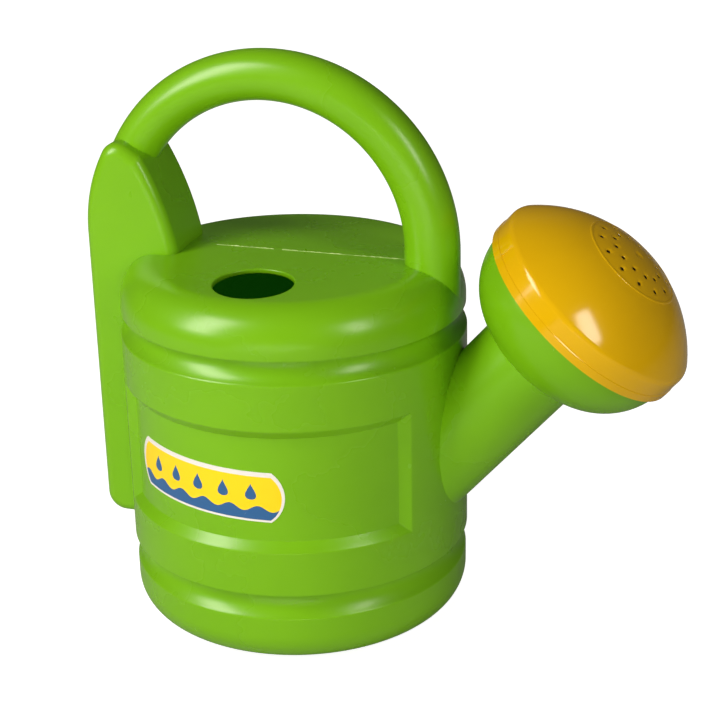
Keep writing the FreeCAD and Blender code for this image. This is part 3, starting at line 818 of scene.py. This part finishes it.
def makeLabel():
    bm = bmesh.new()
    bmesh.ops.create_grid(bm, x_segments=64, y_segments=16, size=1)
    for vert in bm.verts:
        y = vert.co.y * label["height"] / 2
        vert.co = (vert.co.x * (labelArcX + sqrt(labelArc ** 2 - y ** 2)), y, 0)
    layer = bm.loops.layers.uv.new("print")
    for face in bm.faces:
        for loop in face.loops:
            loop[layer].uv = (loop.vert.co.x / label["width"] + 0.5, loop.vert.co.y / label["height"] + 0.5)
    bmesh.ops.translate(bm, verts=growFaces(bm, bm.faces[:]), vec=(0, 0, label["thickness"]))
    turnVerts(bm, bm.verts[:], -label["tilt"])
    floorRadius = canRadius - can["panelDepth"]
    middle = (labelLow.z + labelHigh.z) / 2
    for vert in bm.verts:
        angle = radians(label["turn"]) + vert.co.x / floorRadius
        radius = floorRadius + vert.co.z
        vert.co = (radius * sin(angle), -radius * cos(angle), middle + vert.co.y)
    cleanNormals(bm)
    finishPiece("front_label", bm, "can", ["label"], [labelMaterial()])


makeLabel()


# Floor, lights and camera.

camera = {
    "place": (0.2259, -0.6084, 0.3538), "heading": 18.04, "pitch": -21.62, "roll": -1.25,
    "lens": 88.0, "sensor": 36.0,
}


def addCamera():
    data = bpy.data.cameras.new("camera")
    data.lens = camera["lens"]
    data.sensor_width = camera["sensor"]
    data.clip_start, data.clip_end = 0.01, 50
    view = bpy.data.objects.new("camera", data)
    bpy.context.scene.collection.objects.link(view)
    turn = (Matrix.Rotation(radians(camera["heading"]), 4, "Z")
            @ Matrix.Rotation(radians(90 + camera["pitch"]), 4, "X")
            @ Matrix.Rotation(radians(camera["roll"]), 4, "Z"))
    view.matrix_world = Matrix.Translation(camera["place"]) @ turn
    bpy.context.scene.camera = view


lightColour = (1.0, 0.95, 0.86)
lightAim = Vector((0.0, 0.0, 0.10))
lights = {
    # name: azimuth from -Y towards +X, elevation, distance, width, height, watts
    "key": (-45, 36, 0.95, 0.32, 0.66, 7.2),
    "side": (62, 32, 0.95, 0.17, 0.36, 1.9),
    "front": (8, 0, 1.10, 0.90, 0.16, 7.0),
    "back": (200, 30, 1.60, 1.20, 0.60, 6.5),
}


def addLights():
    for name, (azimuth, elevation, distance, width, height, watts) in lights.items():
        data = bpy.data.lights.new(name, "AREA")
        data.shape = "RECTANGLE"
        data.size, data.size_y = width, height
        data.energy = watts
        data.color = lightColour
        lamp = bpy.data.objects.new(name, data)
        lamp.visible_glossy = name in ("key", "side")      # the fills leave no highlight
        bpy.context.scene.collection.objects.link(lamp)
        a, e = radians(azimuth), radians(elevation)
        away = Vector((sin(a) * cos(e), -cos(a) * cos(e), sin(e)))
        lamp.location = lightAim + away * distance
        lamp.rotation_euler = away.to_track_quat("Z", "Y").to_euler()


room = {
    "front": 0.11, "back": 0.05, "seen": 1.0,
    "floor": (0.44, 0.44, 0.43), "floorGlow": 0.92, "floorSize": 12.0,
}


def addRoom():
    world = bpy.data.worlds.new("studio")
    bpy.context.scene.world = world
    world.use_nodes = True
    tree = world.node_tree
    tree.nodes.clear()
    path = addNode(tree, "ShaderNodeLightPath")
    heading = addNode(tree, "ShaderNodeTexCoord")
    split = addNode(tree, "ShaderNodeSeparateXYZ")
    link(tree, heading.outputs["Generated"], split.inputs[0])
    sky = addNode(tree, "ShaderNodeMapRange")      # the front of the studio is the light side
    sky.inputs["From Min"].default_value = -1.0
    sky.inputs["To Min"].default_value = room["front"]
    sky.inputs["To Max"].default_value = room["back"]
    link(tree, split.outputs["Y"], sky.inputs["Value"])
    strength = addNode(tree, "ShaderNodeMapRange")
    strength.inputs["To Max"].default_value = room["seen"]
    link(tree, sky.outputs["Result"], strength.inputs["To Min"])
    link(tree, path.outputs["Is Camera Ray"], strength.inputs["Value"])
    light = addNode(tree, "ShaderNodeBackground")
    link(tree, strength.outputs["Result"], light.inputs["Strength"])
    output = addNode(tree, "ShaderNodeOutputWorld")
    link(tree, light.outputs[0], output.inputs["Surface"])


def addFloor():
    bm = bmesh.new()
    bmesh.ops.create_grid(bm, x_segments=1, y_segments=1, size=room["floorSize"] / 2)
    mesh = bpy.data.meshes.new("floor")
    bm.to_mesh(mesh)
    bm.free()
    floor = bpy.data.objects.new("floor", mesh)
    bpy.context.scene.collection.objects.link(floor)
    material, tree, shader = newMaterial("paleFloor")
    shader.inputs["Base Color"].default_value = (*room["floor"], 1)
    shader.inputs["Roughness"].default_value = 0.9
    shader.inputs["Emission Color"].default_value = (1, 1, 1, 1)
    path = addNode(tree, "ShaderNodeLightPath")
    glow = calc(tree, "MULTIPLY", path.outputs["Is Camera Ray"], room["floorGlow"])
    link(tree, glow, shader.inputs["Emission Strength"])
    mesh.materials.append(material)


addCamera()
addLights()
addRoom()
addFloor()
bpy.context.scene.view_settings.view_transform = "Standard"
print("stage set")
